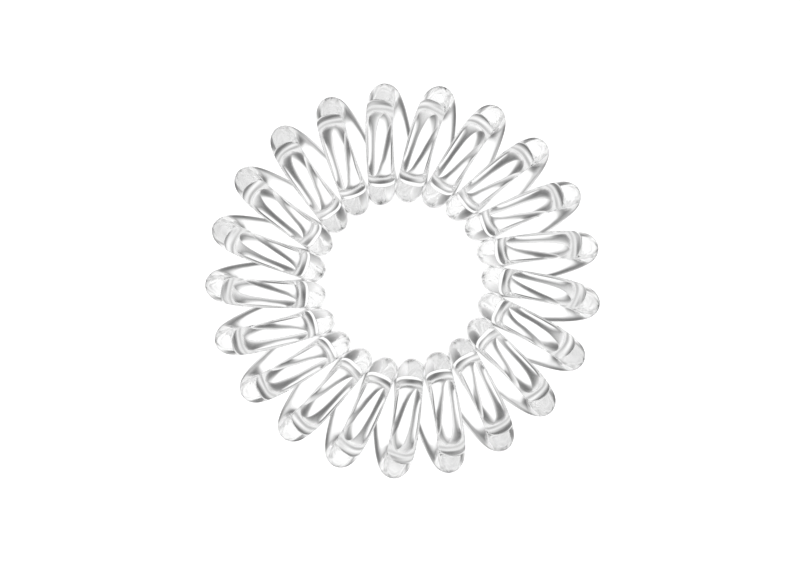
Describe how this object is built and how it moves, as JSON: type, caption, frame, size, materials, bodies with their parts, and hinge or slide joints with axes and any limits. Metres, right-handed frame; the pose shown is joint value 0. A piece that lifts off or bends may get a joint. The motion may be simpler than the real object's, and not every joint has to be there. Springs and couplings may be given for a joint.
{
  "type": "spiral hair tie",
  "caption": "Spiral hair tie: one clear plastic cord wound into an endless round coil around an open central hole.",
  "frame": {"origin": "on the axis of the hole, on the plane that the tie lies on", "axes": "+Z along the axis of the hole, up from the plane it lies on; +X and +Y across the ring"},
  "size_m": [0.0398, 0.0398, 0.0121],
  "materials": {
    "clear_tpu": "clear gloss"
  },
  "bodies": {
    "root": {"coil": "clear_tpu"}
  },
  "joints": []
}
